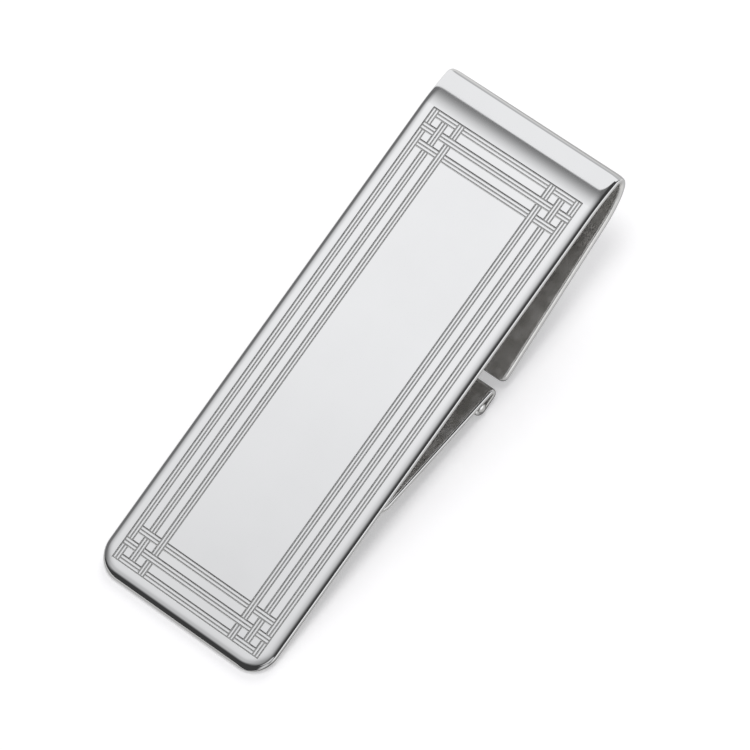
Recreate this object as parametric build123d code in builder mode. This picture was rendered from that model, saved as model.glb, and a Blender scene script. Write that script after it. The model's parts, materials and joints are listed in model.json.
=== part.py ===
from build123d import *
import os
from math import acos, asin, atan, atan2, cos, degrees, hypot, pi, sin, sqrt

# Hinged money clip, lying on its back as it rests on a table.
#
# One strip of sheet metal is folded over at the top into a face plate and a shorter rear leaf.
# The rear leaf ends in two prongs that are rolled into knuckles. A clamp arm swings on a pin
# through those knuckles, and a small torsion spring in the middle of the hinge keeps its tip
# against the back of the face plate.
#
# Millimetres. X runs across the clip, Y along it towards the fold, Z up from the table.
# The clip rests on its hinge knuckles and on the free end's lower edge, so the face leans.
# The origin is at the middle of the bounding box's underside.

# --- Folded body --------------------------------------------------------------------------
PLATE_WIDTH = 19.05         # three quarters of an inch
SHEET = 0.65                # thickness of the folded strip
FACE_LENGTH = 45.95         # flat part of the face, from the free end to where the fold begins
# The fold, as centre-line radius and turn in degrees: a slow start, a tight top, an easy back.
FOLD_ARCS = ((21.7, 10.0), (0.56, 102.0), (1.22, 30.0), (4.3, 18.0), (9.4, 13.8))
LEAF_TO_PIN = 17.74         # rear leaf, from the end of the fold to the foot of the pin
LEAF_SHORT = 2.65           # the leaf's sides stop this far before the pin
CORNER_FACE = 2.5           # corner radius of the free end
CORNER_LEAF = 0.9           # corner radius of the leaf's sides
EDGE = 0.2                  # rounding of the sheet's long edges

# --- Hinge --------------------------------------------------------------------------------
PIN_RADIUS = 0.30
PIN_CLEARANCE = 0.02        # radial, between the pin and the leaf's knuckles
PIN_GRIP = 0.01             # radial, between the pin and the arm's knuckles
HEAD_RADIUS = 0.42
HEAD_HEIGHT = 0.20
KNUCKLE_CURL = 270.0        # degrees of roll in a leaf knuckle
SEAM = 0.10                 # gap where a rolled end comes back to its own sheet
PRONG_OUTER = 6.90          # outer and inner sides of the two prongs, from the middle
PRONG_INNER = 1.25
SIDE_GAP = 0.10             # between a prong and the arm's knuckle beside it

# --- Clamp arm ----------------------------------------------------------------------------
ARM_SHEET = 0.45
ARM_WIDTH = 18.80
ARM_LENGTH = 12.60          # from the pin to the tip
ARM_EDGE = 0.15
CORNER_ARM = 1.2
HEEL_REACH = 1.32           # from the pin to the centre of the heel's fold
HEEL_INNER = 0.12           # inside radius of the heel's fold
KNUCKLE_RELIEF = 1.10       # the plate stops this far from the pin where the prongs pass
TIP_GAP = 0.02              # between the closed tip and the face plate

# --- Torsion spring -----------------------------------------------------------------------
WIRE = 0.25                 # wire diameter
COIL_RADIUS = 0.455         # of the wire's centre line
COIL_TURNS = 7
COIL_PITCH = 0.27
WIRE_GAP = 0.01             # between a spring leg and the sheet that it presses
LEAF_LEG = 6.0              # how far each leg reaches from the pin
ARM_LEG = 6.5
LEG_EXIT = 0.4              # length over which a leg keeps the coil's slope
LEG_BEND = 1.0              # radius of a leg's bends, on the wire's centre line
NOTCH_DEPTH = 3.0           # from the pin to the bottom of the notch between the prongs

# --- Engraved border of woven bars --------------------------------------------------------
BORDER_HALF_WIDTH = 8.22
BORDER_HALF_LENGTH = 22.64
BORDER_CENTRE = 24.11       # from the free end
BARS = 3                    # bars along each edge
BAR_WIDTH = 0.58
BAR_PITCH = 1.42
GROOVE_WIDTH = 0.25         # two grooves to a bar
CROSSING_GAP = 0.025        # a groove stops this far short of a bar that it passes under
ENGRAVING_DEPTH = 0.04

os.makedirs("parts", exist_ok=True)


# --- Side profile -------------------------------------------------------------------------
# Profile coordinates: x along the face towards the fold, y out of the face, which is at y = 0.
with BuildLine() as strip_line:
    run = Line((0, -SHEET / 2), (FACE_LENGTH, -SHEET / 2))
    for radius, turn in FOLD_ARCS:
        run = JernArc(run @ 1, run % 1, radius, -turn)
    leaf_start = run @ 1
    leaf_direction = run % 1
    leaf_end = leaf_start + leaf_direction * (LEAF_TO_PIN - LEAF_SHORT)
    Line(leaf_start, leaf_end)

leaf_eye = PIN_RADIUS + PIN_CLEARANCE
curl_radius = leaf_eye + SHEET / 2
leaf_knuckle = leaf_eye + SHEET
inward = Vector(leaf_direction.Y, -leaf_direction.X, 0)
pin_foot = leaf_start + leaf_direction * LEAF_TO_PIN
pin = pin_foot + inward * curl_radius

with BuildLine() as prong_line:
    prong = Line(leaf_end - leaf_direction * SHEET, pin_foot)
    curl = JernArc(prong @ 1, prong % 1, curl_radius, -KNUCKLE_CURL)
    Line(curl @ 1, (curl @ 1) + (curl % 1) * (leaf_eye - SEAM))

# The table touches the knuckles and the rounded lower edge of the free end.
reach = pin - Vector(EDGE, EDGE - SHEET, 0)
lean = asin((leaf_knuckle - EDGE) / reach.length) - atan2(reach.Y, reach.X)

# The fold's tight arc is the furthest point along Y, and the free end's upper edge the nearest.
tight = strip_line.edges().filter_by(lambda e: e.geom_type == GeomType.CIRCLE)
tight = tight.sort_by(lambda e: e.radius)[0]
y_high = tight.arc_center.X * cos(lean) - tight.arc_center.Y * sin(lean) + tight.radius + SHEET / 2
y_low = EDGE * (cos(lean) + sin(lean) - 1)
origin = (0, -(y_high + y_low) / 2, leaf_knuckle - pin.X * sin(lean) - pin.Y * cos(lean))

along = Vector(0, cos(lean), sin(lean))
face_normal = Vector(0, -sin(lean), cos(lean))
SIDE = Plane(origin=origin, x_dir=along, z_dir=(1, 0, 0))
FACE = Plane(origin=origin, x_dir=(1, 0, 0), z_dir=face_normal)


def side_point(point):
    """The place in the row frame of a point in the side profile."""
    return SIDE.from_local_coords((point.X, point.Y, 0))


def side_direction(direction):
    """The direction in the row frame of a direction in the side profile."""
    return along * direction.X + face_normal * direction.Y


pin_centre = side_point(pin)

# The arm leans so that its tip's inner corner stops just short of the face plate's back.
arm_eye = PIN_RADIUS + PIN_GRIP
arm_knuckle = arm_eye + ARM_SHEET
drop = -pin.Y - SHEET - TIP_GAP
arm_angle = asin(drop / hypot(ARM_LENGTH, arm_knuckle)) - atan(arm_knuckle / ARM_LENGTH)
arm_axis = Vector(cos(arm_angle), -sin(arm_angle), 0)
ARM_SIDE = Plane(origin=pin_centre, x_dir=side_direction(arm_axis), z_dir=(1, 0, 0))
ARM_FLAT = Plane(origin=pin_centre, x_dir=(1, 0, 0), z_dir=ARM_SIDE.y_dir)

# The leaf's own plane has x from the pin towards the fold and y towards the face.
LEAF_SIDE = Plane(origin=pin_centre, x_dir=side_direction(-leaf_direction), z_dir=(1, 0, 0))


# --- Folded body --------------------------------------------------------------------------
def visible_runs(covered, half_length):
    """Stretches of a bar between the crossings where it passes under another bar.

    covered holds the numbers, from the outside in, of the bars that pass over it."""
    stops = []
    for number in covered:
        outer = half_length - number * BAR_PITCH
        stops.append((outer - BAR_WIDTH, outer))
    low_side = [(-high, -low) for low, high in stops]
    runs = []
    start = -half_length
    for low, high in sorted(low_side) + sorted(stops):
        if low > start:
            runs.append((start, low))
        start = high
    if start < half_length:
        runs.append((start, half_length))
    return runs


def bar_grooves(number, half_width, half_length, covered):
    """Centre, middle and length of each groove in the two bars of this number."""
    middle = half_width - number * BAR_PITCH - BAR_WIDTH / 2
    grooves = []
    for side in (-1, 1):
        for half in (-1, 1):
            place = side * middle + half * BAR_WIDTH / 4
            for low, high in visible_runs(covered, half_length):
                grooves.append((place, (low + high) / 2, high - low - 2 * CROSSING_GAP))
    return grooves


with BuildPart() as folded_body:
    with BuildSketch(SIDE):
        trace(strip_line.line, SHEET)
    extrude(amount=PLATE_WIDTH / 2, both=True)
    free_corners = folded_body.edges().filter_by(Axis((0, 0, 0), face_normal)).sort_by(Axis.Y)[:2]
    fillet(free_corners, CORNER_FACE)
    leaf_normal = side_direction(inward)
    leaf_corners = folded_body.edges().filter_by(Axis((0, 0, 0), leaf_normal))
    fillet(leaf_corners.sort_by(Axis.Y)[:2], CORNER_LEAF)
    fillet(folded_body.edges().filter_by(Axis((0, 0, 0), along)), EDGE)

    with BuildSketch(SIDE):
        trace(prong_line.line, SHEET)
    extrude(amount=PRONG_OUTER, both=True)
    with BuildSketch(LEAF_SIDE):
        with Locations((NOTCH_DEPTH, 0)):
            Rectangle(2 * NOTCH_DEPTH, 2.5 * leaf_knuckle, align=(Align.MAX, Align.CENTER))
    extrude(amount=PRONG_INNER, both=True, mode=Mode.SUBTRACT)

    with BuildSketch(FACE):
        for number in range(BARS):
            under_along = [other for other in range(BARS) if (number + other) % 2 == 1]
            under_across = [other for other in range(BARS) if (number + other) % 2 == 0]
            for x, y, length in bar_grooves(
                number, BORDER_HALF_WIDTH, BORDER_HALF_LENGTH, under_along
            ):
                with Locations((x, BORDER_CENTRE + y)):
                    Rectangle(GROOVE_WIDTH, length)
            for y, x, length in bar_grooves(
                number, BORDER_HALF_LENGTH, BORDER_HALF_WIDTH, under_across
            ):
                with Locations((x, BORDER_CENTRE + y)):
                    Rectangle(length, GROOVE_WIDTH)
    extrude(amount=-ENGRAVING_DEPTH, mode=Mode.SUBTRACT)

folded_body.part.label = "folded_body"
export_step(folded_body.part, "parts/folded_body.step")


# --- Clamp arm ----------------------------------------------------------------------------
# The plate runs on past the pin, folds back at the heel and is rolled round the pin.
heel_outer = HEEL_INNER + ARM_SHEET
heel_centre = (sqrt(HEEL_REACH**2 - (arm_eye - HEEL_INNER) ** 2), arm_eye - HEEL_INNER)

with BuildPart() as clamp_arm:
    with BuildSketch(ARM_FLAT):
        with Locations((0, -ARM_LENGTH)):
            Rectangle(ARM_WIDTH, ARM_LENGTH - KNUCKLE_RELIEF, align=(Align.CENTER, Align.MIN))
        for side in (-1, 1):
            with Locations((side * ARM_WIDTH / 2, -ARM_LENGTH / 2)):
                Rectangle(
                    ARM_WIDTH / 2 - PRONG_OUTER - SIDE_GAP,
                    ARM_LENGTH / 2,
                    align=(Align.MAX if side > 0 else Align.MIN, Align.MIN),
                )
    extrude(amount=arm_knuckle)
    with BuildSketch(ARM_FLAT):
        Rectangle(2 * ARM_WIDTH, 4 * ARM_LENGTH)
    extrude(amount=arm_eye, mode=Mode.SUBTRACT)
    tip_corners = clamp_arm.edges().filter_by(Axis((0, 0, 0), ARM_SIDE.y_dir))
    fillet(tip_corners.sort_by(Axis.Y)[:2], CORNER_ARM)
    fillet(clamp_arm.edges().filter_by(Axis((0, 0, 0), ARM_SIDE.x_dir)), ARM_EDGE)

    for side in (-1, 1):
        inner_side = PRONG_OUTER + SIDE_GAP
        with BuildSketch(ARM_SIDE.offset(side * (inner_side + ARM_WIDTH / 2) / 2)):
            with BuildSketch(mode=Mode.PRIVATE) as inner_loop:
                Circle(arm_eye)
                with Locations(heel_centre):
                    Circle(HEEL_INNER)
                make_hull()
            with BuildSketch(mode=Mode.PRIVATE) as outer_loop:
                Circle(arm_knuckle)
                with Locations(heel_centre):
                    Circle(heel_outer)
                make_hull()
            add(outer_loop.sketch)
            add(inner_loop.sketch, mode=Mode.SUBTRACT)
            # The seam, where the rolled end meets the plate.
            with Locations((-arm_knuckle, arm_eye - SEAM / 2)):
                Rectangle(2 * ARM_SHEET, SEAM, mode=Mode.SUBTRACT)
        extrude(amount=(ARM_WIDTH / 2 - inner_side) / 2, both=True)

clamp_arm.part.label = "clamp_arm"
export_step(clamp_arm.part, "parts/clamp_arm.step")


# --- Hinge pin ----------------------------------------------------------------------------
# A plain wire pin whose ends are peened into low domes outside the arm's knuckles.
dome_radius = (HEAD_RADIUS**2 + HEAD_HEIGHT**2) / (2 * HEAD_HEIGHT)
PIN_PLANE = Plane(origin=pin_centre, x_dir=(1, 0, 0), z_dir=face_normal)

with BuildPart() as hinge_pin:
    with BuildSketch(PIN_PLANE):
        with BuildLine():
            Polyline(
                (0, 0),
                (0, PIN_RADIUS),
                (ARM_WIDTH / 2, PIN_RADIUS),
                (ARM_WIDTH / 2, HEAD_RADIUS),
            )
            dome = CenterArc(
                (ARM_WIDTH / 2 + HEAD_HEIGHT - dome_radius, 0),
                dome_radius,
                0,
                degrees(asin(HEAD_RADIUS / dome_radius)),
            )
            Line(dome @ 0, (0, 0))
        make_face()
    revolve(axis=Axis(pin_centre, (1, 0, 0)))
    mirror(about=Plane.YZ)

hinge_pin.part.label = "hinge_pin"
export_step(hinge_pin.part, "parts/hinge_pin.step")


# --- Torsion spring -----------------------------------------------------------------------
# One leg lies on the outside of the rear leaf and the other on the outside of the arm, so the
# coil turns the arm's tip towards the face plate. Both legs leave the coil at a tangent.
def tangent_angle(target, side):
    """Angle, in the target's plane, at which a straight leg to the target leaves the coil."""
    return atan2(target[1], target[0]) + side * acos(COIL_RADIUS / hypot(*target))


leaf_bend = (NOTCH_DEPTH - WIRE / 2, -leaf_knuckle - WIRE / 2 - WIRE_GAP)
arm_touch = (-ARM_LEG, arm_eye - WIRE / 2 - WIRE_GAP)
leaf_leave = tangent_angle(leaf_bend, -1)
arm_leave = tangent_angle(arm_touch, 1)
leaf_slope = atan2(-leaf_direction.Y, -leaf_direction.X)
coil_angle = (leaf_leave + leaf_slope - arm_leave + arm_angle) % (2 * pi) + COIL_TURNS * 2 * pi
coil_height = COIL_PITCH * coil_angle / (2 * pi)


def leg_point(plane, place, x):
    """A point of a leg in the row frame, from its place in a side plane and its x."""
    return plane.from_local_coords((place[0], place[1], x))


def coil_edge(angle):
    """Place on the coil's circle at this angle."""
    return (COIL_RADIUS * cos(angle), COIL_RADIUS * sin(angle))


arm_x = -coil_height / 2
coil_start = leg_point(ARM_SIDE, coil_edge(arm_leave), arm_x)
coil_foot = pin_centre + Vector(arm_x, 0, 0)
COIL = Plane(origin=coil_foot, x_dir=coil_start - coil_foot, z_dir=(1, 0, 0))
# A line block keeps only a helix's centre, not its turn about the axis, so the coil is placed here.
coil_line = COIL * Helix(COIL_PITCH, coil_height, COIL_RADIUS)

# The wire leaves the coil along its own slope for a moment, then straightens out of it.
arm_exit = coil_line @ 0 - (coil_line % 0) * LEG_EXIT
leaf_exit = coil_line @ 1 + (coil_line % 1) * LEG_EXIT

with BuildPart() as hinge_spring:
    with BuildLine() as spring_line:
        FilletPolyline(
            leg_point(ARM_SIDE, arm_touch, arm_exit.X),
            arm_exit,
            coil_line @ 0,
            radius=LEG_BEND,
        )
        add(coil_line)
        FilletPolyline(
            coil_line @ 1,
            leaf_exit,
            leg_point(LEAF_SIDE, leaf_bend, leaf_exit.X),
            leg_point(LEAF_SIDE, (LEAF_LEG, leaf_bend[1]), leaf_exit.X),
            radius=LEG_BEND,
        )
    with BuildSketch(Plane(spring_line.line @ 0, z_dir=spring_line.line % 0)):
        Circle(WIRE / 2)
    sweep(path=spring_line.line)

hinge_spring.part.label = "hinge_spring"
export_step(hinge_spring.part, "parts/hinge_spring.step")

print(f"lean {degrees(lean):.3f} deg, arm {degrees(arm_angle):.3f} deg to the face")
print(f"pin at Y {pin_centre.Y:.3f}, Z {pin_centre.Z:.3f}")
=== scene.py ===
import json
import math

import bpy
import numpy as np
from mathutils import Matrix, Vector


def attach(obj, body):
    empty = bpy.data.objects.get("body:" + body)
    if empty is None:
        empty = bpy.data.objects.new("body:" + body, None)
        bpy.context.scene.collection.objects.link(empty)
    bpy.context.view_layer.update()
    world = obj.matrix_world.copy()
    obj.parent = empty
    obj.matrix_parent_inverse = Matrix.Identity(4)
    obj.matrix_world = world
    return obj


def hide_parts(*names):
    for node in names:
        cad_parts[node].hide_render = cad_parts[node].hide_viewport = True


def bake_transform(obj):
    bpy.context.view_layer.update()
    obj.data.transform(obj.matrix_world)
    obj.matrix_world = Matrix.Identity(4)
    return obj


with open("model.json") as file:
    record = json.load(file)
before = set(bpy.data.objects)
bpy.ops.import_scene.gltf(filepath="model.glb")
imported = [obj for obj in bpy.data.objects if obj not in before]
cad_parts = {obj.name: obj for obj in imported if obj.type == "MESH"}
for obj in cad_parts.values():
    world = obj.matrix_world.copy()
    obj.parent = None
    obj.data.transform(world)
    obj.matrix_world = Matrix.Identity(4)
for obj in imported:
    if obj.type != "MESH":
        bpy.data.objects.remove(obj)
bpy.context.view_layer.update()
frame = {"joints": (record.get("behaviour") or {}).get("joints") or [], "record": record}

MM = 0.001

# ------------------------------------------------------------------------------------------
# The clip's own directions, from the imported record: the face leans, and the arm on it too.
# ------------------------------------------------------------------------------------------
face_mount = frame["record"]["mounts"][0]
hinge = frame["joints"][0]
X_AXIS = np.array([1.0, 0.0, 0.0])
NORMAL = np.array(face_mount["axis"], float)
NORMAL = NORMAL / np.linalg.norm(NORMAL)
ALONG = np.cross(NORMAL, X_AXIS)
BORDER_CENTRE = 24.11
FREE_END = np.array(face_mount["pos_m"], float) / MM - BORDER_CENTRE * ALONG
PIN = np.array(hinge["pos_m"], float) / MM

# Sizes in millimetres, as the CAD part has them, except CORNER_LEAF: the photo shows the leaf's
# end corners a little sharper than the CAD's 0.9.
PLATE_WIDTH = 19.05
SHEET = 0.65
FACE_LENGTH = 45.95
FOLD_ARCS = ((21.7, 10.0), (0.56, 102.0), (1.22, 30.0), (4.3, 18.0), (9.4, 13.8))
LEAF_TO_PIN = 17.74
LEAF_SHORT = 2.65
CORNER_FACE = 2.5
CORNER_LEAF = 0.65
PIN_RADIUS = 0.30
HEAD_RADIUS = 0.42
HEAD_HEIGHT = 0.20
LEAF_EYE = 0.32
SEAM = 0.10
PRONG_OUTER = 6.90
PRONG_INNER = 1.25
ARM_SHEET = 0.45
ARM_WIDTH = 18.80
ARM_LENGTH = 12.60
ARM_EYE = 0.31
CORNER_ARM = 1.2
HEEL_CENTRE = (1.306, 0.19)
HEEL_INNER = 0.12
KNUCKLE_RELIEF = 1.10
SIDE_GAP = 0.10
ARM_CURL = 129.6
LEAF_LEG = 6.0
ARM_LEG = 6.5
LEG_EXIT = 0.4
LEG_BEND = 1.0
NOTCH_DEPTH = 3.0
WIRE_GAP = 0.01
ARM_ANGLE = math.radians(13.5413)
WIRE = 0.25
COIL_RADIUS = 0.455
COIL_TURNS = 7
COIL_PITCH = 0.27

BORDER_HALF_WIDTH = 8.22
BORDER_HALF_LENGTH = 22.64
BARS = 3
BAR_WIDTH = 0.58
BAR_PITCH = 1.42


# ------------------------------------------------------------------------------------------
# Bent sheet metal. A sheet is laid out flat, as x across and s along the strip, and carried
# onto its bent middle line.
# ------------------------------------------------------------------------------------------
class Strip:
    """The middle line of a bent strip, in a plane of its own: straight runs and arcs."""

    def __init__(self, start, heading, runs):
        self.pieces = []
        x, y, angle, s = start[0], start[1], heading, 0.0
        for run in runs:
            if run[0] == "line":
                length = run[1]
                self.pieces.append((s, s + length, x, y, angle, 0.0))
                x += length * math.cos(angle)
                y += length * math.sin(angle)
            else:
                radius, turn = run[1], math.radians(run[2])
                length = radius * abs(turn)
                bend = turn / length
                self.pieces.append((s, s + length, x, y, angle, bend))
                x += (math.sin(angle + turn) - math.sin(angle)) / bend
                y -= (math.cos(angle + turn) - math.cos(angle)) / bend
                angle += turn
            s += length
        self.length = s

    def at(self, s):
        """Place and direction at s; beyond the ends it runs on straight."""
        for first, last, x, y, angle, bend in self.pieces:
            if s <= last:
                break
        d = s - first
        if bend == 0.0 or s > last:
            if s > last and bend != 0.0:
                inside, extra = last - first, s - last
                turned = angle + bend * inside
                x += (math.sin(turned) - math.sin(angle)) / bend
                y -= (math.cos(turned) - math.cos(angle)) / bend
                return x + extra * math.cos(turned), y + extra * math.sin(turned), turned
            return x + d * math.cos(angle), y + d * math.sin(angle), angle
        turned = angle + bend * d
        x += (math.sin(turned) - math.sin(angle)) / bend
        y -= (math.cos(turned) - math.cos(angle)) / bend
        return x, y, turned

    def rows(self, first, last, flat_step, turn_step):
        """Places along the strip that are close where it bends."""
        found = []
        for a, b, _, _, _, bend in self.pieces:
            low, high = max(a, first), min(b, last)
            if high - low < 1e-9:
                continue
            step = flat_step
            if bend != 0.0:
                step = min(flat_step, math.radians(turn_step) / abs(bend))
            count = max(1, math.ceil((high - low) / step - 1e-9))
            found += [low + (high - low) * i / count for i in range(count)]
        return found + [last]


def merged(*lists, apart=0.004):
    """One sorted list of these numbers, without near repeats."""
    numbers = sorted(v for one in lists for v in one)
    kept = [numbers[0]]
    for v in numbers[1:]:
        if v - kept[-1] > apart:
            kept.append(v)
    return kept


def filled(numbers, step):
    """The numbers with evenly spaced ones added wherever two are more than a step apart."""
    found = []
    for a, b in zip(numbers, numbers[1:]):
        count = max(1, math.ceil((b - a) / step - 1e-9))
        found += [a + (b - a) * i / count for i in range(count)]
    return found + [numbers[-1]]


def edge_profile(outer_arcs, inner_radius, thickness, slope=0.0, depth=0.0):
    """Cross-section of a sheet's edge, from its outer skin round to its inner skin.

    Returns the points as (distance outwards, depth below the outer skin)."""
    points, x, y, angle = [(0.0, depth)], 0.0, depth, slope
    for radius, turn, steps in outer_arcs:
        for _ in range(steps):
            after = angle + math.radians(turn) / steps
            x += radius * (math.sin(after) - math.sin(angle))
            y += radius * (math.cos(angle) - math.cos(after))
            angle = after
            points.append((x, y))
    reach = x
    points.append((reach, (y + thickness - inner_radius) / 2))
    for i in range(7):
        turn = math.radians(15 * i)
        points.append(
            (reach - inner_radius * (1 - math.cos(turn)), thickness - inner_radius * (1 - math.sin(turn)))
        )
    points.append((0.0, thickness))
    return points, reach


def sheet_mesh(
    name, strip, place, thickness, xs, ss, inside, corners, profile, relief=None, end_profile=None
):
    """A closed sheet: outer and inner skins over the cells that are inside, joined by a rounded edge.

    corners are (centre x, centre s, inner radius, side x, side s, convex, where rounding starts)."""
    xs, ss = np.array(xs), np.array(ss)
    columns, rows = len(xs) - 1, len(ss) - 1
    mid_x, mid_s = (xs[1:] + xs[:-1]) / 2, (ss[1:] + ss[:-1]) / 2
    cell = np.array([[inside(x, s) for x in mid_x] for s in mid_s])

    # Directed edges along the outline, with the sheet on their left.
    follow = {}
    for r in range(rows):
        for c in range(columns):
            if not cell[r, c]:
                continue
            if r == 0 or not cell[r - 1, c]:
                follow[(r, c)] = (r, c + 1)
            if c == columns - 1 or not cell[r, c + 1]:
                follow[(r, c + 1)] = (r + 1, c + 1)
            if r == rows - 1 or not cell[r + 1, c]:
                follow[(r + 1, c + 1)] = (r + 1, c)
            if c == 0 or not cell[r, c - 1]:
                follow[(r + 1, c)] = (r, c)
    start = next(iter(follow))
    loop, here = [], start
    while True:
        loop.append(here)
        here = follow[here]
        if here == start:
            break

    used = np.zeros((rows + 1, columns + 1), bool)
    used[:-1, :-1] |= cell
    used[1:, :-1] |= cell
    used[:-1, 1:] |= cell
    used[1:, 1:] |= cell
    flat = {(r, c): (xs[c], ss[r]) for r, c in zip(*np.nonzero(used))}

    outward = {}
    count = len(loop)
    on_edge = set(loop)
    for here, (x, s) in list(flat.items()):
        for cx, cs, radius, side_x, side_s, convex, begin in corners:
            dx, ds = (x - cx) * side_x, (s - cs) * side_s
            square = max(dx, ds)
            if -1e-6 <= dx and -1e-6 <= ds and begin < square <= radius + 1e-6:
                size = math.hypot(dx, ds)
                ux, us = (x - cx) / size, (s - cs) / size
                share = min(1.0, (square - begin) / (radius - begin))
                reach = (1 - share) * size * begin / square + share * radius
                flat[here] = (cx + reach * ux, cs + reach * us)
                if here in on_edge:
                    outward[here] = (ux, us) if convex else (-ux, -us)
    for i, here in enumerate(loop):
        way = outward.get(here)
        if way is None:
            before, after = loop[i - 1], loop[(i + 1) % count]
            run_x = xs[after[1]] - xs[before[1]]
            run_s = ss[after[0]] - ss[before[0]]
            size = math.hypot(run_x, run_s)
            way = (run_s / size, -run_x / size)
        outward[here] = way

    lookup = {}

    def carried(x, s, depth):
        key = round(s, 6)
        if key not in lookup:
            a, b, angle = strip.at(s)
            lookup[key] = (a, b, -math.sin(angle), math.cos(angle))
        a, b, na, nb = lookup[key]
        lift = thickness / 2 - depth
        return place(x, a + na * lift, b + nb * lift)

    points, faces = [], []
    # Per point: the engraved line share, which the material darkens with tarnish and painted shade, and
    # whether the point lies on the underside.
    groove_and_underside_values = []
    outer, inner = {}, {}
    for key in sorted(flat):
        x, s = flat[key]
        depth, cut = relief(x, s) if relief else (0.0, 0.0)
        outer[key] = len(points)
        points.append(carried(x, s, depth))
        groove_and_underside_values.append((cut, 0.0))
    for key in sorted(flat):
        x, s = flat[key]
        inner[key] = len(points)
        points.append(carried(x, s, thickness))
        groove_and_underside_values.append((0.0, 1.0))
    for r in range(rows):
        for c in range(columns):
            if cell[r, c]:
                quad = [(r, c), (r, c + 1), (r + 1, c + 1), (r + 1, c)]
                faces.append([outer[k] for k in quad])
                faces.append([inner[k] for k in reversed(quad)])
    rings = [[outer[k] for k in loop]]
    end_profile = end_profile or profile
    for side_point, end_point in zip(profile[1:-1], end_profile[1:-1]):
        ring = []
        for k in loop:
            x, s = flat[k]
            share = outward[k][1] ** 2 if outward[k][1] < 0 else 0.0
            start = profile[0][1] * (1 - share) + end_profile[0][1] * share
            reach = side_point[0] * (1 - share) + end_point[0] * share
            depth = side_point[1] * (1 - share) + end_point[1] * share
            fallen = relief(x, s)[0] if relief else 0.0
            depth = fallen + (depth - start) * (thickness - fallen) / (thickness - start)
            ring.append(len(points))
            points.append(carried(x + outward[k][0] * reach, s + outward[k][1] * reach, depth))
            groove_and_underside_values.append((0.0, 1.0 if depth > 0.7 * thickness else 0.0))
        rings.append(ring)
    rings.append([inner[k] for k in loop])
    for one, two in zip(rings, rings[1:]):
        for i in range(count):
            j = (i + 1) % count
            faces.append([one[i], two[i], two[j], one[j]])

    obj = mesh_object(name, points, faces)
    for label, values in (("cut", [w[0] for w in groove_and_underside_values]), ("inside", [w[1] for w in groove_and_underside_values])):
        attribute = obj.data.attributes.new(label, "FLOAT", "POINT")
        attribute.data.foreach_set("value", np.array(values, np.float32))
    return obj


def mesh_object(name, points, faces):
    """A smooth mesh object from points in millimetres."""
    mesh = bpy.data.meshes.new(name)
    mesh.from_pydata([tuple(p * MM) for p in np.array(points)], [], faces)
    mesh.validate()
    for polygon in mesh.polygons:
        polygon.use_smooth = True
    obj = bpy.data.objects.new(name, mesh)
    bpy.context.scene.collection.objects.link(obj)
    return obj


def on_clip(x, a, b):
    """Row-frame place of a point in the side profile's coordinates."""
    return FREE_END + X_AXIS * x + ALONG * a + NORMAL * b


# ------------------------------------------------------------------------------------------
# Folded plate
# ------------------------------------------------------------------------------------------
CROWN_WIDTH = 1.0           # the face starts to fall away this far from its outline
CROWN_RADIUS = 6.0
CROWN_NARROWING = 0.12      # how much narrower the crown is round the fold
roll = 0.5                  # first guess, settled by the loop below
for _ in range(12):
    crown_slope = math.asin((CROWN_WIDTH - roll) / CROWN_RADIUS)
    crown_depth = CROWN_RADIUS * (1 - math.cos(crown_slope))
    last_turn = 90.0 - 33.0 - math.degrees(crown_slope)
    PLATE_EDGE, roll = edge_profile(
        ((2.2, 7.0, 4), (0.25, 26.0, 7), (0.13, last_turn, 7)), 0.29, SHEET, crown_slope, crown_depth
    )
PLATE_ROLL = roll
# The free end is worn rounder than the sides.
DROOP_WIDTH = 0.74
DROOP_RADIUS = 2.4
droop_slope = crown_slope + (DROOP_WIDTH - roll) / DROOP_RADIUS
droop_depth = crown_depth + (DROOP_WIDTH - roll) ** 2 / (2 * DROOP_RADIUS)
turn_one = 46.0 - math.degrees(droop_slope)
END_EDGE, end_reach = edge_profile(
    ((0.28, turn_one, 5), (2.1, 7.0, 5), (0.08, 37.0, 8)), 0.2, SHEET, droop_slope, droop_depth
)
END_EDGE = [(reach * roll / end_reach, depth) for reach, depth in END_EDGE]
# Half of a bar's cross-section: distance from its middle, depth, and how much is line wall.
BAR_SHAPE = (
    (0.0, 0.040, 1.0), (0.03, 0.038, 1.0), (0.064, 0.028, 0.5), (0.09, 0.0262, 0.0), (0.12, 0.0266, 0.0),
    (0.15, 0.0268, 0.0), (0.18, 0.0266, 0.0), (0.21, 0.0262, 0.0), (0.236, 0.028, 0.5), (0.27, 0.038, 1.0),
    (0.30, 0.040, 1.0), (0.335, 0.026, 1.0), (0.362, 0.006, 0.9), (0.382, 0.0, 0.0),
)
LINE = 0.30                 # from a bar's middle to its outer line
BAR_REACH = 0.385           # past a bar's whole cross-section
GUARD = 0.395               # an extra grid line just outside it


def bar_cut(offset):
    """Depth and line share at a distance from a bar's middle."""
    offset = abs(offset)
    for (a, low, cut_low), (b, high, cut_high) in zip(BAR_SHAPE, BAR_SHAPE[1:]):
        if offset <= b:
            share = (offset - a) / (b - a)
            return low + (high - low) * share, cut_low + (cut_high - cut_low) * share
    return 0.0, 0.0


def bar_middles(half):
    """(number, middle) of every bar on both sides."""
    return [(n, side * (half - n * BAR_PITCH - BAR_WIDTH / 2)) for n in range(BARS) for side in (-1, 1)]


X_BARS = bar_middles(BORDER_HALF_WIDTH)
Y_BARS = bar_middles(BORDER_HALF_LENGTH)


def smooth(value, low, high):
    share = min(1.0, max(0.0, (value - low) / (high - low)))
    return share * share * (3 - 2 * share)


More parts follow.
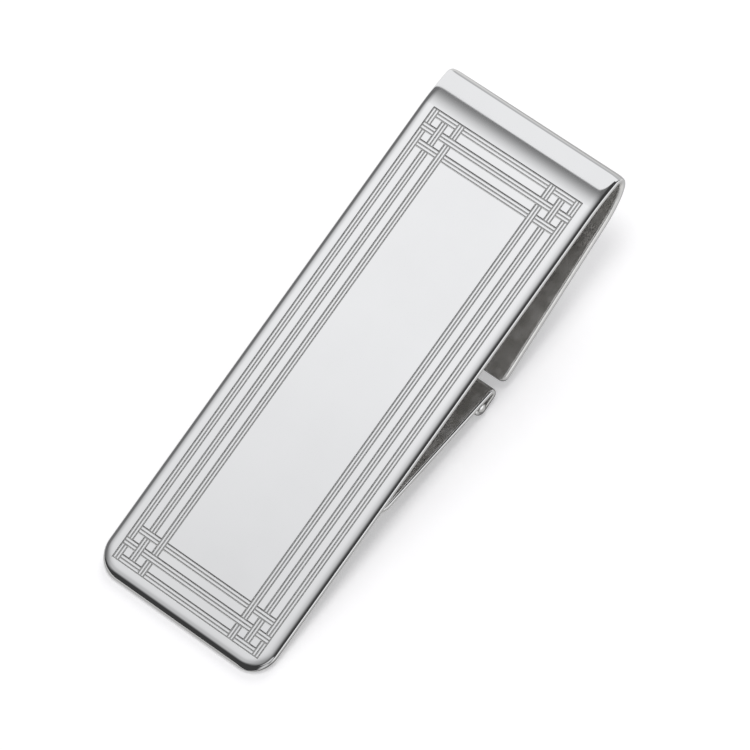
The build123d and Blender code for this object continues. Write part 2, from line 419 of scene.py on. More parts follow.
def crown(x, s):
    """How far the face has fallen away at a place near its outline."""
    free_x = PLATE_WIDTH / 2 - abs(x)
    inside_x, inside_s = CORNER_FACE - free_x, CORNER_FACE - s
    if inside_x > 0 and inside_s > 0:
        from_centre = math.hypot(inside_x, inside_s)
        to_edge = CORNER_FACE - from_centre
        endwise = (inside_s / from_centre) ** 2
    else:
        to_edge = min(free_x, s)
        endwise = 1.0 if s < free_x else 0.0
    at_fold = smooth(s, 43.5, 46.5) * smooth(-s, -53.0, -50.5)
    width = CROWN_WIDTH - CROWN_NARROWING * at_fold
    radius = CROWN_RADIUS * (width - PLATE_ROLL) / (CROWN_WIDTH - PLATE_ROLL)
    fall = max(0.0, width - to_edge)
    droop = max(0.0, DROOP_WIDTH - to_edge) ** 2 / (2 * DROOP_RADIUS) * endwise
    return radius - math.sqrt(radius**2 - fall**2) + droop


def engraving(x, s):
    """Depth and line share of the woven border at a place on the outer skin."""
    y = s - BORDER_CENTRE
    found = [(0.0, 0.0)]
    if abs(x) < BORDER_HALF_WIDTH + 0.07 and abs(y) < BORDER_HALF_LENGTH + 0.07:
        for bars, place, crossing, across, parity, limit in (
            (X_BARS, x, Y_BARS, y, 1, BORDER_HALF_LENGTH + 0.005),
            (Y_BARS, y, X_BARS, x, 0, BORDER_HALF_WIDTH + 0.005),
        ):
            for number, middle in bars:
                if abs(place - middle) > BAR_REACH or abs(across) > limit:
                    continue
                covered = any(
                    (number + other) % 2 == parity and abs(across - centre) < LINE - 0.005
                    for other, centre in crossing
                )
                if not covered:
                    found.append(bar_cut(place - middle))
        # The frame's outermost line runs all the way round.
        outside = max(abs(x) - BORDER_HALF_WIDTH, abs(y) - BORDER_HALF_LENGTH)
        found.append(bar_cut(LINE + abs(outside)))
    depth = max(d for d, _ in found)
    return depth + crown(x, s), max(c for _, c in found)


def bar_lines(middles):
    """Grid lines that follow the bars' cross-sections."""
    found = []
    for _, middle in middles:
        for offset in [shape[0] for shape in BAR_SHAPE] + [GUARD]:
            found += [middle - offset, middle + offset]
    return found


curl_radius = LEAF_EYE + SHEET / 2
body_runs = [("line", FACE_LENGTH)] + [("arc", r, -t) for r, t in FOLD_ARCS]
body_runs += [("line", LEAF_TO_PIN), ("arc", curl_radius, -270.0), ("line", LEAF_EYE - SEAM)]
body_strip = Strip((0.0, -SHEET / 2), 0.0, body_runs)
leaf_end = body_strip.pieces[len(FOLD_ARCS) + 1][1] - LEAF_SHORT
fold_start = FACE_LENGTH

half = PLATE_WIDTH / 2
side = half - PLATE_ROLL
prong_side = PRONG_OUTER - PLATE_ROLL
notch_side = PRONG_INNER + PLATE_ROLL
FILLET = 0.15
leaf_edge = leaf_end - PLATE_ROLL
tip_edge = body_strip.length - PLATE_ROLL * 0.6
prong_corner = 0.25

body_corners = []
for sign in (-1, 1):
    in_face = CORNER_FACE - PLATE_ROLL
    in_leaf = CORNER_LEAF - PLATE_ROLL
    in_root = FILLET + PLATE_ROLL
    leaf_s, root_s, tip_s = leaf_end - CORNER_LEAF, leaf_end + FILLET, tip_edge - prong_corner
    body_corners += [
        (sign * (half - CORNER_FACE), CORNER_FACE, in_face, sign, -1, True, 1.27),
        (sign * (half - CORNER_LEAF), leaf_s, in_leaf, sign, 1, True, 0.5 * in_leaf),
        (sign * (PRONG_OUTER + FILLET), root_s, in_root, -sign, -1, False, 0.5 * in_root),
        (sign * (PRONG_INNER - FILLET), root_s, in_root, sign, -1, False, 0.5 * in_root),
        (sign * (prong_side - prong_corner), tip_s, prong_corner, sign, 1, True, 0.1),
        (sign * (notch_side + prong_corner), tip_s, prong_corner, -sign, 1, True, 0.1),
    ]


def span(a, b, count):
    return [a + (b - a) * i / count for i in range(count + 1)]


def both(values):
    return [v for v in values] + [-v for v in values]


body_xs = merged(
    both([0.0, side, prong_side, notch_side]),
    both(span(7.3, 8.31, 5)),
    both(span(8.31, side, 5)),
    both(span(half - CORNER_LEAF, side, 5)),
    both(span(prong_side, PRONG_OUTER + FILLET, 9)),
    both(span(PRONG_INNER - FILLET, notch_side, 9)),
    both(span(prong_side - prong_corner, prong_side, 4)),
    both(span(notch_side, notch_side + prong_corner, 4)),
    bar_lines(X_BARS),
)
body_xs = filled(body_xs, 0.6)
body_ss = merged(
    [PLATE_ROLL, CORNER_FACE],
    [BORDER_CENTRE + v for v in bar_lines(Y_BARS)],
    body_strip.rows(fold_start, leaf_edge, 0.8, 2.0),
    span(leaf_end - CORNER_LEAF, leaf_edge, 5),
    span(leaf_edge, leaf_end + FILLET, 9),
    body_strip.rows(leaf_end + FILLET, tip_edge, 0.6, 6.0),
    span(tip_edge - prong_corner, tip_edge, 4),
)
body_ss = filled(body_ss, 0.9)
body_ss = merged(body_ss, span(PLATE_ROLL, CORNER_FACE, 16), span(PLATE_ROLL, 1.38, 4), apart=0.012)


def in_body(x, s):
    if s < leaf_edge:
        return True
    return notch_side < abs(x) < prong_side


plate = sheet_mesh(
    "folded_plate", body_strip, on_clip, SHEET, body_xs, body_ss, in_body, body_corners,
    PLATE_EDGE, engraving, END_EDGE,
)
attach(plate, "body")
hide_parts("folded_body")


# ------------------------------------------------------------------------------------------
# Clamp arm
# ------------------------------------------------------------------------------------------
arm_toward_heel = ALONG * math.cos(ARM_ANGLE) - NORMAL * math.sin(ARM_ANGLE)
arm_up = ALONG * math.sin(ARM_ANGLE) + NORMAL * math.cos(ARM_ANGLE)


def on_arm(x, a, b):
    """Row-frame place of a point in the arm's own side coordinates, from the pin."""
    return PIN + X_AXIS * x + arm_toward_heel * a + arm_up * b


ARM_EDGE, ARM_ROLL = edge_profile(((0.9, 14.0, 3), (0.3, 26.0, 4), (0.12, 50.0, 5)), 0.08, ARM_SHEET)
heel_radius = HEEL_INNER + ARM_SHEET / 2
eye_radius = ARM_EYE + ARM_SHEET / 2
heel_distance = math.hypot(*HEEL_CENTRE)
heel_slope = math.asin((eye_radius - heel_radius) / heel_distance)
arm_runs = [
    ("line", ARM_LENGTH + HEEL_CENTRE[0]),
    ("arc", heel_radius, -(180.0 - math.degrees(2 * heel_slope))),
    ("line", math.sqrt(heel_distance**2 - (eye_radius - heel_radius) ** 2)),
    ("arc", eye_radius, -ARM_CURL),
]
arm_strip = Strip((-ARM_LENGTH, eye_radius), 0.0, arm_runs)
arm_half = ARM_WIDTH / 2
arm_side = arm_half - ARM_ROLL
plate_edge = ARM_LENGTH - KNUCKLE_RELIEF - ARM_ROLL
lug_side = PRONG_OUTER + SIDE_GAP + ARM_ROLL
arm_last = arm_strip.length - ARM_ROLL * 0.5
ARM_FILLET = 0.2
arm_corners = []
root = ARM_LENGTH - KNUCKLE_RELIEF
for sign in (-1, 1):
    in_tip, in_lug = CORNER_ARM - ARM_ROLL, ARM_FILLET + ARM_ROLL
    lug_x = sign * (PRONG_OUTER + SIDE_GAP - ARM_FILLET)
    arm_corners += [
        (sign * (arm_half - CORNER_ARM), CORNER_ARM, in_tip, sign, -1, True, 0.3),
        (lug_x, root + ARM_FILLET, in_lug, sign, -1, False, 0.2),
    ]
arm_xs = filled(
    merged(
        both([0.0, arm_side, lug_side]),
        both(span(arm_half - CORNER_ARM, arm_side, 9)),
        both(span(PRONG_OUTER + SIDE_GAP - ARM_FILLET, lug_side, 7)),
    ),
    0.8,
)
arm_ss = merged(
    span(ARM_ROLL, CORNER_ARM, 9),
    filled([CORNER_ARM, plate_edge], 0.8),
    span(plate_edge, root + ARM_FILLET, 7),
    arm_strip.rows(root + ARM_FILLET, arm_last, 0.4, 5.0),
)


def in_arm(x, s):
    return s < plate_edge or abs(x) > lug_side


arm = sheet_mesh("clamp_plate", arm_strip, on_arm, ARM_SHEET, arm_xs, arm_ss, in_arm, arm_corners, ARM_EDGE)
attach(arm, "arm")
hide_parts("clamp_arm")


# ------------------------------------------------------------------------------------------
# Hinge pin: a wire with two peened heads
# ------------------------------------------------------------------------------------------
def lathe(name, profile, centre, segments=64):
    """A closed turned piece about an axis along X through centre."""
    points, faces = [], []
    rings = []
    for x, r in profile:
        if r < 1e-6:
            rings.append([len(points)])
            points.append(centre + X_AXIS * x)
            continue
        ring = []
        for i in range(segments):
            angle = 2 * math.pi * i / segments
            ring.append(len(points))
            points.append(centre + X_AXIS * x + np.array([0, r * math.cos(angle), r * math.sin(angle)]))
        rings.append(ring)
    for one, two in zip(rings, rings[1:]):
        for i in range(segments):
            j = (i + 1) % segments
            if len(one) == 1:
                faces.append([one[0], two[j], two[i]])
            elif len(two) == 1:
                faces.append([one[i], one[j], two[0]])
            else:
                faces.append([one[i], one[j], two[j], two[i]])
    return mesh_object(name, points, faces)


dome_radius = (HEAD_RADIUS**2 + HEAD_HEIGHT**2) / (2 * HEAD_HEIGHT)
head_turn = math.asin(HEAD_RADIUS / dome_radius)
head = [
    (arm_half + HEAD_HEIGHT - dome_radius * (1 - math.cos(t)), dome_radius * math.sin(t))
    for t in [head_turn * (1 - i / 9) for i in range(10)]
]
head[-1] = (arm_half + HEAD_HEIGHT, 0.0)
under_head = arm_half + 0.012
head_base = [(under_head, PIN_RADIUS), (under_head, HEAD_RADIUS - 0.02), (arm_half + 0.03, HEAD_RADIUS)]
head = head_base + head[1:]
pin_profile = [(-x, r) for x, r in reversed(head)]
pin_profile += [(-arm_half + 0.3, PIN_RADIUS)] + [(x, PIN_RADIUS) for x in span(-8.5, 8.5, 8)]
pin_profile += [(arm_half - 0.3, PIN_RADIUS)] + head
pin_piece = lathe("hinge_wire", pin_profile, PIN)
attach(pin_piece, "arm")
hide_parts("hinge_pin")


# ------------------------------------------------------------------------------------------
# Torsion spring: a coil round the pin between the prongs, with a leg along each sheet
# ------------------------------------------------------------------------------------------
leaf_turn = body_strip.at(leaf_end)[2]
leaf_run = ALONG * math.cos(leaf_turn) + NORMAL * math.sin(leaf_turn)
leaf_back = -leaf_run
leaf_up = np.cross(leaf_back, -X_AXIS)
if leaf_up @ NORMAL < 0:
    leaf_up = -leaf_up


def flat_angle(v):
    """Angle about +X of a direction, from ALONG towards NORMAL."""
    return math.atan2(float(v @ NORMAL), float(v @ ALONG))


LEAF_KNUCKLE = LEAF_EYE + SHEET
leaf_bend = (NOTCH_DEPTH - WIRE / 2, -LEAF_KNUCKLE - WIRE / 2 - WIRE_GAP)
arm_touch = (-ARM_LEG, ARM_EYE - WIRE / 2 - WIRE_GAP)


def leave_angle(target, turn_side):
    return math.atan2(target[1], target[0]) + turn_side * math.acos(COIL_RADIUS / math.hypot(*target))


leaf_axis_angle = flat_angle(leaf_back)
arm_axis_angle = flat_angle(arm_toward_heel)
arm_leave = leave_angle(arm_touch, 1) + arm_axis_angle
leaf_leave = leave_angle(leaf_bend, -1) + leaf_axis_angle
coil_angle = (leaf_leave - arm_leave) % (2 * math.pi) + COIL_TURNS * 2 * math.pi
coil_height = COIL_PITCH * coil_angle / (2 * math.pi)


def around(angle, x):
    return PIN + X_AXIS * x + COIL_RADIUS * (ALONG * math.cos(angle) + NORMAL * math.sin(angle))


def rounded_path(corners_in, radius, step=0.09):
    """Points along straight runs with rounded bends."""
    pts = [np.array(p, float) for p in corners_in]
    out = [pts[0]]
    for before, here, after in zip(pts, pts[1:], pts[2:]):
        one, two = before - here, after - here
        u, v = one / np.linalg.norm(one), two / np.linalg.norm(two)
        angle = math.acos(max(-1.0, min(1.0, float(u @ v))))
        cut = radius / math.tan(angle / 2)
        cut = min(cut, 0.48 * np.linalg.norm(one), 0.48 * np.linalg.norm(two))
        first, last = here + u * cut, here + v * cut
        for i in range(9):
            t = i / 8
            out.append((1 - t) ** 2 * first + 2 * t * (1 - t) * here + t**2 * last)
    out.append(pts[-1])
    dense = [out[0]]
    for a, b in zip(out, out[1:]):
        count = max(1, math.ceil(np.linalg.norm(b - a) / step))
        dense += [a + (b - a) * i / count for i in range(1, count + 1)]
    return dense


low_x = -coil_height / 2
coil = []
steps = int(coil_angle / math.radians(7.5))
for i in range(steps + 1):
    share = i / steps
    coil.append(around(arm_leave + share * coil_angle, low_x + share * coil_height))
tangent_in = coil[1] - coil[0]
tangent_in = tangent_in / np.linalg.norm(tangent_in)
tangent_out = coil[-1] - coil[-2]
tangent_out = tangent_out / np.linalg.norm(tangent_out)
arm_exit = coil[0] - tangent_in * LEG_EXIT
leaf_exit = coil[-1] + tangent_out * LEG_EXIT
arm_leg_x = float(arm_exit[0])
leaf_leg_x = float(leaf_exit[0])
arm_leg = rounded_path([on_arm(arm_leg_x, *arm_touch), arm_exit, coil[0]], LEG_BEND)
leaf_leg = rounded_path(
    [
        coil[-1],
        leaf_exit,
        PIN + X_AXIS * leaf_leg_x + leaf_back * leaf_bend[0] + leaf_up * leaf_bend[1],
        PIN + X_AXIS * leaf_leg_x + leaf_back * LEAF_LEG + leaf_up * leaf_bend[1],
    ],
    LEG_BEND,
)
wire_path = arm_leg[:-1] + coil + leaf_leg[1:]


def tube(name, path, radius, segments=16):
    """A round wire along a path, with rounded tips."""
    path = [np.array(p) for p in path]
    tangents = []
    for i in range(len(path)):
        a, b = path[max(0, i - 1)], path[min(len(path) - 1, i + 1)]
        tangents.append((b - a) / np.linalg.norm(b - a))
    side_dir = np.cross(tangents[0], NORMAL)
    side_dir /= np.linalg.norm(side_dir)
    stations = []
    for k in (0.25, 0.6, 0.87):
        rounding = radius * (1 - math.sqrt(1 - k * k)) * 0.6
        stations.append((path[0] + tangents[0] * rounding, tangents[0], k))
    for p, t in list(zip(path, tangents))[1:-1]:
        stations.append((p, t, 1.0))
    for k in (0.87, 0.6, 0.25):
        rounding = radius * (1 - math.sqrt(1 - k * k)) * 0.6
        stations.append((path[-1] - tangents[-1] * rounding, tangents[-1], k))
    points, faces, rings = [], [], []
    for p, t, k in stations:
        side_dir = side_dir - t * float(side_dir @ t)
        side_dir /= np.linalg.norm(side_dir)
        up_dir = np.cross(t, side_dir)
        ring = []
        for i in range(segments):
            angle = 2 * math.pi * i / segments
            ring.append(len(points))
            points.append(p + radius * k * (side_dir * math.cos(angle) + up_dir * math.sin(angle)))
        rings.append(ring)
    for one, two in zip(rings, rings[1:]):
        for i in range(segments):
            j = (i + 1) % segments
            faces.append([one[i], one[j], two[j], two[i]])
    faces.append(list(reversed(rings[0])))
    faces.append(rings[-1])
    return mesh_object(name, points, faces)


spring = tube("spring_coil", wire_path, WIRE / 2)
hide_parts("hinge_spring")
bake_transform(spring)


# ------------------------------------------------------------------------------------------
# Materials
# ------------------------------------------------------------------------------------------
class Nodes:
    """Short words for building a node tree."""

    def __init__(self, tree):
        self.tree = tree
        self.tree.nodes.clear()

    def put(self, socket, value):
        if isinstance(value, bpy.types.NodeSocket):
            self.tree.links.new(value, socket)
        else:
            socket.default_value = value

    def math(self, operation, a, b=None, clamp=False):
        node = self.tree.nodes.new("ShaderNodeMath")
        node.operation = operation
        node.use_clamp = clamp
        self.put(node.inputs[0], a)
        if b is not None:
            self.put(node.inputs[1], b)
        return node.outputs[0]

    def ramp(self, value, low, high, to_low=0.0, to_high=1.0, smooth=True):
        node = self.tree.nodes.new("ShaderNodeMapRange")
        node.interpolation_type = "SMOOTHSTEP" if smooth else "LINEAR"
        self.put(node.inputs["Value"], value)
        self.put(node.inputs["From Min"], low)
        self.put(node.inputs["From Max"], high)
        self.put(node.inputs["To Min"], to_low)
        self.put(node.inputs["To Max"], to_high)
        return node.outputs["Result"]

    def mix(self, factor, a, b):
        node = self.tree.nodes.new("ShaderNodeMix")
        node.data_type = "RGBA"
        self.put(node.inputs["Factor"], factor)
        self.put(node.inputs["A"], a)
        self.put(node.inputs["B"], b)
        return node.outputs["Result"]

    def noise(self, vector, scale, detail=3.0, roughness=0.5):
        node = self.tree.nodes.new("ShaderNodeTexNoise")
        self.put(node.inputs["Vector"], vector)
        node.inputs["Scale"].default_value = scale
        node.inputs["Detail"].default_value = detail
        node.inputs["Roughness"].default_value = roughness
        return node.outputs["Fac"]

    def scaled(self, vector, scale, turn=(0.0, 0.0, 0.0)):
        node = self.tree.nodes.new("ShaderNodeMapping")
        self.put(node.inputs["Vector"], vector)
        node.inputs["Scale"].default_value = scale
        node.inputs["Rotation"].default_value = turn
        return node.outputs["Vector"]

    def attribute(self, name):
        node = self.tree.nodes.new("ShaderNodeAttribute")
        node.attribute_name = name
        return node.outputs["Fac"]


def polished_metal(name, colour, recess_tarnish_and_shade_colour, roughness, scratch):
    """Mirror-polished plate: faint waviness, buffing lines, smudges, and rougher engraved walls, darkened by
    tarnish and by painted shade.
    """
    material = bpy.data.materials.new(name)
    material.use_nodes = True
    n = Nodes(material.node_tree)
    shader = n.tree.nodes.new("ShaderNodeBsdfPrincipled")
    output = n.tree.nodes.new("ShaderNodeOutputMaterial")
    n.tree.links.new(shader.outputs["BSDF"], output.inputs["Surface"])
    place = n.tree.nodes.new("ShaderNodeTexCoord").outputs["Object"]
    engraved = n.attribute("cut")
    inside = n.attribute("inside")

    smudge = n.noise(place, 90.0, 4.0, 0.6)
    fine = n.noise(n.scaled(place, (1.0, 0.05, 1.0)), 9000.0, 2.0)
    buff = n.noise(n.scaled(place, (1.0, 0.03, 1.0), (0.0, 0.0, 0.35)), 5200.0, 3.0, 0.7)

    base = n.mix(n.ramp(smudge, 0.35, 0.75), colour, tuple(c * 0.975 for c in colour[:3]) + (1.0,))
    # The engraved walls get a darker colour: partly tarnish in the hollows, partly painted shade where the
    # grooves would shade each other.
    base = n.mix(n.math("MULTIPLY", engraved, 0.85), base, recess_tarnish_and_shade_colour)
    cloud = n.ramp(n.noise(place, 1100.0, 5.0, 0.75), 0.36, 0.66)
    dull = n.mix(cloud, (0.72, 0.71, 0.69, 1.0), (0.90, 0.89, 0.87, 1.0))
    base = n.mix(n.math("MULTIPLY", inside, 0.75), base, dull)
    n.put(shader.inputs["Base Color"], base)
    film = n.math("MULTIPLY", inside, n.ramp(cloud, 0.0, 1.0, 0.06, 0.24))
    n.put(shader.inputs["Metallic"], n.math("SUBTRACT", 1.0, film))

    rough = n.ramp(smudge, 0.3, 0.8, roughness, roughness * 1.9)
    rough = n.math("ADD", rough, n.ramp(fine, 0.55, 0.8, 0.0, 0.02))
    rough = n.math("ADD", rough, n.math("MULTIPLY", engraved, 0.5))
    rough = n.math("ADD", rough, n.math("MULTIPLY", inside, 0.16))
    n.put(shader.inputs["Roughness"], rough)

    bump = n.tree.nodes.new("ShaderNodeBump")
    bump.inputs["Strength"].default_value = 1.0
    bump.inputs["Distance"].default_value = 1.0
    height = n.math("MULTIPLY", buff, scratch)
    n.put(bump.inputs["Height"], height)
    n.put(shader.inputs["Normal"], bump.outputs["Normal"])
    return material


def drawn_wire(name, colour):
    """Spring wire: drawing lines round it and a slight straw tint."""
    material = bpy.data.materials.new(name)
    material.use_nodes = True
    n = Nodes(material.node_tree)
    shader = n.tree.nodes.new("ShaderNodeBsdfPrincipled")
    output = n.tree.nodes.new("ShaderNodeOutputMaterial")
    n.tree.links.new(shader.outputs["BSDF"], output.inputs["Surface"])
    place = n.tree.nodes.new("ShaderNodeTexCoord").outputs["Object"]
    patch = n.noise(place, 1400.0, 3.0, 0.6)
    lines = n.noise(n.scaled(place, (0.15, 1.0, 1.0)), 16000.0, 2.0)
    base = n.mix(patch, colour, tuple(c * 0.82 for c in colour[:3]) + (1.0,))
    n.put(shader.inputs["Base Color"], base)
    shader.inputs["Metallic"].default_value = 1.0
    n.put(shader.inputs["Roughness"], n.ramp(lines, 0.3, 0.7, 0.22, 0.42))
    bump = n.tree.nodes.new("ShaderNodeBump")
    bump.inputs["Distance"].default_value = 1.0
    n.put(bump.inputs["Height"], n.math("MULTIPLY", lines, 2e-6))
    n.put(shader.inputs["Normal"], bump.outputs["Normal"])
    return material


# The third colour is the engraved walls' darker tone, tarnish together with painted shade.
plate_metal = polished_metal("plated_mirror", (0.93, 0.93, 0.935, 1.0), (0.72, 0.72, 0.71, 1.0), 0.03, 2.5e-8)
pin_metal = polished_metal("pin_metal", (0.92, 0.92, 0.92, 1.0), (0.6, 0.6, 0.6, 1.0), 0.06, 4e-8)
wire_metal = drawn_wire("spring_wire", (0.66, 0.65, 0.62, 1.0))


def dress(obj, material):
    obj.data.materials.clear()
    obj.data.materials.append(material)


dress(plate, plate_metal)
dress(arm, plate_metal)
dress(pin_piece, pin_metal)
dress(spring, wire_metal)


# ------------------------------------------------------------------------------------------
# Studio: pale table, soft lights, and a tent of white cloth that the metal reflects
# ------------------------------------------------------------------------------------------
def pale_table():
    mesh = bpy.data.meshes.new("table_top")
    size = 3.0
    corners = [(-size, -size, 0), (size, -size, 0), (size, size, 0), (-size, size, 0)]
    mesh.from_pydata(corners, [], [(0, 1, 2, 3)])
    obj = bpy.data.objects.new("table_top", mesh)
    bpy.context.scene.collection.objects.link(obj)
    material = bpy.data.materials.new("pale_table")
    material.use_nodes = True
    n = Nodes(material.node_tree)
    shader = n.tree.nodes.new("ShaderNodeBsdfPrincipled")
    output = n.tree.nodes.new("ShaderNodeOutputMaterial")
    n.tree.links.new(shader.outputs["BSDF"], output.inputs["Surface"])
    place = n.tree.nodes.new("ShaderNodeTexCoord").outputs["Object"]
    tone = n.noise(place, 300.0, 2.0)
    base = n.mix(tone, (0.86, 0.86, 0.87, 1.0), (0.88, 0.88, 0.885, 1.0))
    n.put(shader.inputs["Base Color"], base)
    shader.inputs["Roughness"].default_value = 0.9
    shader.inputs["Specular IOR Level"].default_value = 0.0
    n.put(shader.inputs["Emission Color"], base)
    shader.inputs["Emission Strength"].default_value = 0.355
    obj.data.materials.append(material)
    return obj


def tent():
    """A big dome whose inside glows as a photographer's tent does: white cloth with dark gaps.

    Only reflections see it. Tilts are in degrees from straight up: toward the fold, and toward +X."""
    mesh = bpy.data.meshes.new("light_tent")
    radius, rings, sectors = 2.0, 48, 96
    points, faces = [], []
    for i in range(rings + 1):
        polar = math.pi * i / rings
        for j in range(sectors):
            turn = 2 * math.pi * j / sectors
            points.append((
                radius * math.sin(polar) * math.cos(turn),
                radius * math.sin(polar) * math.sin(turn),
                radius * math.cos(polar),
            ))
    for i in range(rings):
        for j in range(sectors):
            k = (j + 1) % sectors
            faces.append((i * sectors + j, i * sectors + k, (i + 1) * sectors + k, (i + 1) * sectors + j))
    mesh.from_pydata(points, [], faces)
    obj = bpy.data.objects.new("light_tent", mesh)
    bpy.context.scene.collection.objects.link(obj)
    material = bpy.data.materials.new("tent_cloth")
    material.use_nodes = True
    n = Nodes(material.node_tree)
    glow = n.tree.nodes.new("ShaderNodeEmission")
    output = n.tree.nodes.new("ShaderNodeOutputMaterial")
    n.tree.links.new(glow.outputs["Emission"], output.inputs["Surface"])
    split = n.tree.nodes.new("ShaderNodeSeparateXYZ")
    n.tree.links.new(n.tree.nodes.new("ShaderNodeTexCoord").outputs["Object"], split.inputs[0])
    x, y, _ = split.outputs
    fore = n.math("MULTIPLY", n.math("ARCSINE", n.math("DIVIDE", y, radius)), 180 / math.pi)
    sideways = n.math("MULTIPLY", n.math("ARCSINE", n.math("DIVIDE", x, radius)), 180 / math.pi)

    def rise(value, low, high):
        return n.ramp(value, low, high)

    def fall(value, low, high):
        return n.ramp(value, low, high, 1.0, 0.0)

    def times(*values):
        product = values[0]
        for v in values[1:]:
            product = n.math("MULTIPLY", product, v)
        return product

    def brightest(*values):
        top = values[0]
        for v in values[1:]:
            top = n.math("MAXIMUM", top, v)
        return top

    # What the face reflects at the photograph's angle: white cloth that dims toward the free end.
    level = n.ramp(fore, -15.0, -3.0, 0.50, 0.93)
    aslant = times(rise(sideways, -51.0, -32.0), fall(sideways, -27.0, -1.0))
    dimming = times(rise(fore, -28.0, -18.0), n.ramp(fore, 0.3, 8.8, 1.0, 0.20), fall(fore, 9.2, 11.0))
    main = times(level, dimming, aslant)
    # A faint glow round that cloth, which keeps the dark edges from going black.
    dusk = times(rise(sideways, -75.0, -60.0), fall(sideways, -16.0, -4.0))
    dusk = times(dusk, rise(fore, -28.0, -18.0), fall(fore, 30.0, 50.0), 0.16)
    # The bright band in the fold, whose border bends away to the right.
    bent = n.math("MAXIMUM", n.math("ADD", sideways, 29.0), 0.0)
    bend = n.math("MULTIPLY", n.math("MULTIPLY", bent, bent), 0.015)
    above = n.math("SUBTRACT", fore, bend)
    back = times(rise(above, 8.2, 8.8), fall(fore, 46.0, 64.0), 0.88)
    horizon = times(rise(fore, 48.0, 60.0), 0.54)
    # Walls to the right and left.
    right_wall = times(rise(sideways, 42.0, 48.0), n.ramp(fore, -45.0, -14.0, 0.22, 1.0))
    left_wall = times(fall(sideways, -76.0, -64.0), n.ramp(fore, -40.0, 40.0, 0.30, 0.60))
    # Cloth that the face reflects when it is seen from above or from behind.
    overhead = times(rise(sideways, -9.0, -2.0), fall(sideways, 20.0, 34.0), 0.62)
    overhead = times(overhead, rise(fore, -36.0, -26.0), fall(fore, -14.0, -10.0))
    front = times(rise(sideways, 12.0, 26.0), fall(fore, -40.0, -26.0), 0.58)
    total = brightest(main, dusk, back, horizon, right_wall, left_wall, overhead, front, 0.045)
    n.put(glow.inputs["Strength"], total)
    glow.inputs["Color"].default_value = (0.985, 0.99, 1.0, 1.0)
    material.cycles.emission_sampling = "NONE"
    obj.data.materials.append(material)
    obj.visible_camera = False
    obj.visible_diffuse = False
    obj.visible_shadow = False
    obj.visible_transmission = False
    return obj


def tent_base():
    """The tent's grey base cloth, which reflections see in place of the table, with a painted shadow of the
    clip: dimmer under and around it.
    """
    mesh = bpy.data.meshes.new("tent_base")
    size, lift = 1.9, 0.00002
    corners = [(-size, -size, lift), (size, -size, lift), (size, size, lift), (-size, size, lift)]
    mesh.from_pydata(corners, [], [(0, 1, 2, 3)])
    obj = bpy.data.objects.new("tent_base", mesh)
    bpy.context.scene.collection.objects.link(obj)
    material = bpy.data.materials.new("base_cloth")
    material.use_nodes = True
    n = Nodes(material.node_tree)
    glow = n.tree.nodes.new("ShaderNodeEmission")
    output = n.tree.nodes.new("ShaderNodeOutputMaterial")
    n.tree.links.new(glow.outputs["Emission"], output.inputs["Surface"])
    split = n.tree.nodes.new("ShaderNodeSeparateXYZ")
    place = n.tree.nodes.new("ShaderNodeTexCoord").outputs["Object"]
    n.tree.links.new(place, split.inputs[0])
    x, y, _ = split.outputs
    # Painted shadow of the clip: the base glows dimmer under the clip and just past its sides and ends.
    beside = n.ramp(n.math("ABSOLUTE", x), 0.0096, 0.0101)
    beyond = n.ramp(n.math("ABSOLUTE", y), 0.0240, 0.0252)
    clear = n.math("MAXIMUM", beside, beyond)
    weave = n.noise(place, 700.0, 2.0)
    bright = n.math("MULTIPLY", n.ramp(clear, 0.0, 1.0, 0.24, 0.68), n.ramp(weave, 0.2, 0.8, 0.97, 1.03))
    # More painted shadow: dimmer for some millimetres to either side of the clip.
    bright = n.math("MULTIPLY", bright, n.ramp(n.math("ABSOLUTE", x), 0.011, 0.018, 0.66, 1.0))
    n.put(glow.inputs["Strength"], bright)
    glow.inputs["Color"].default_value = (1.0, 0.995, 0.985, 1.0)
    material.cycles.emission_sampling = "NONE"
    obj.data.materials.append(material)
    obj.visible_camera = False
    obj.visible_diffuse = False
    obj.visible_shadow = False
    obj.visible_transmission = False
    return obj


def soft_light(name, place, target, size, power, colour):
    data = bpy.data.lights.new(name, "AREA")
    data.shape = "DISK"
    data.size = size
    data.energy = power
    data.color = colour
    obj = bpy.data.objects.new(name, data)
    bpy.context.scene.collection.objects.link(obj)
    obj.location = place
    obj.rotation_mode = "QUATERNION"
    obj.rotation_quaternion = (Vector(target) - Vector(place)).to_track_quat("-Z", "Y")
    obj.visible_glossy = False
    return obj


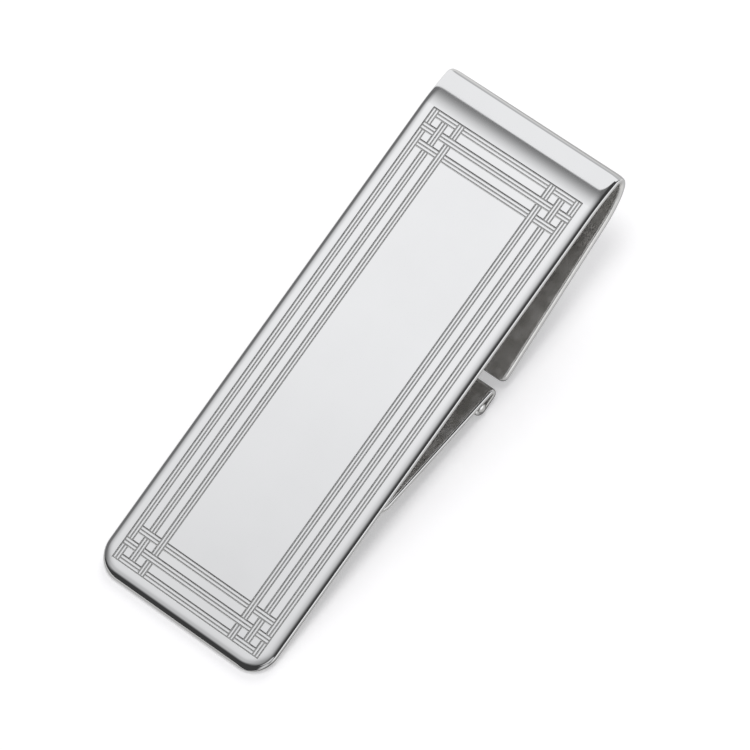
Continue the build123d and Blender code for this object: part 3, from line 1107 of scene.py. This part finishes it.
pale_table()
tent()
tent_base()
soft_light("key_light", (0.06, 0.26, 0.95), (0, 0, 0), 0.5, 2.95, (1.0, 0.99, 0.98))
soft_light("low_light", (-0.15, 0.90, 0.42), (0, 0, 0), 0.6, 4.2, (1.0, 0.995, 0.99))
world = bpy.data.worlds.new("studio")
bpy.context.scene.world = world
world.use_nodes = True
world.node_tree.nodes["Background"].inputs["Color"].default_value = (0.98, 0.975, 1.0, 1.0)
world.node_tree.nodes["Background"].inputs["Strength"].default_value = 0.44


# ------------------------------------------------------------------------------------------
# Camera: a long lens, turned to the photograph's side of the clip
# ------------------------------------------------------------------------------------------
TURN, TIP, ROLL = (math.radians(a) for a in (28.91, -2.64, 35.57))
AIM = Vector((-2.353, 0.473, 662.1))    # the view centre in camera axes: across, down, away
SENSOR = 36.0
LENS = 390.24


def camera_axes():
    """Camera right, down and forward, as rows, in the clip's across, down and inward directions."""
    yaw = Matrix(((math.cos(TURN), 0, math.sin(TURN)), (0, 1, 0), (-math.sin(TURN), 0, math.cos(TURN))))
    pitch = Matrix(((1, 0, 0), (0, math.cos(TIP), -math.sin(TIP)), (0, math.sin(TIP), math.cos(TIP))))
    roll = Matrix(((math.cos(ROLL), -math.sin(ROLL), 0), (math.sin(ROLL), math.cos(ROLL), 0), (0, 0, 1)))
    return roll @ pitch @ yaw


def in_row(v):
    return Vector(X_AXIS * v[0] - ALONG * v[1] - NORMAL * v[2])


axes = camera_axes()
VIEW_CENTRE = 24.107
eye = in_row(axes.transposed() @ -AIM) + Vector(FREE_END + ALONG * VIEW_CENTRE)
right, down, forward = (in_row(row) for row in axes)
camera_data = bpy.data.cameras.new("camera")
camera_data.lens = LENS
camera_data.sensor_width = SENSOR
camera_data.clip_start = 0.05
camera_data.clip_end = 20.0
camera = bpy.data.objects.new("camera", camera_data)
bpy.context.scene.collection.objects.link(camera)
camera.matrix_world = Matrix.Translation(eye * MM) @ Matrix((right, -down, -forward)).transposed().to_4x4()
bpy.context.scene.camera = camera
bpy.context.scene.view_settings.view_transform = "Standard"
bpy.context.scene.cycles.max_bounces = 24
bpy.context.scene.cycles.glossy_bounces = 20
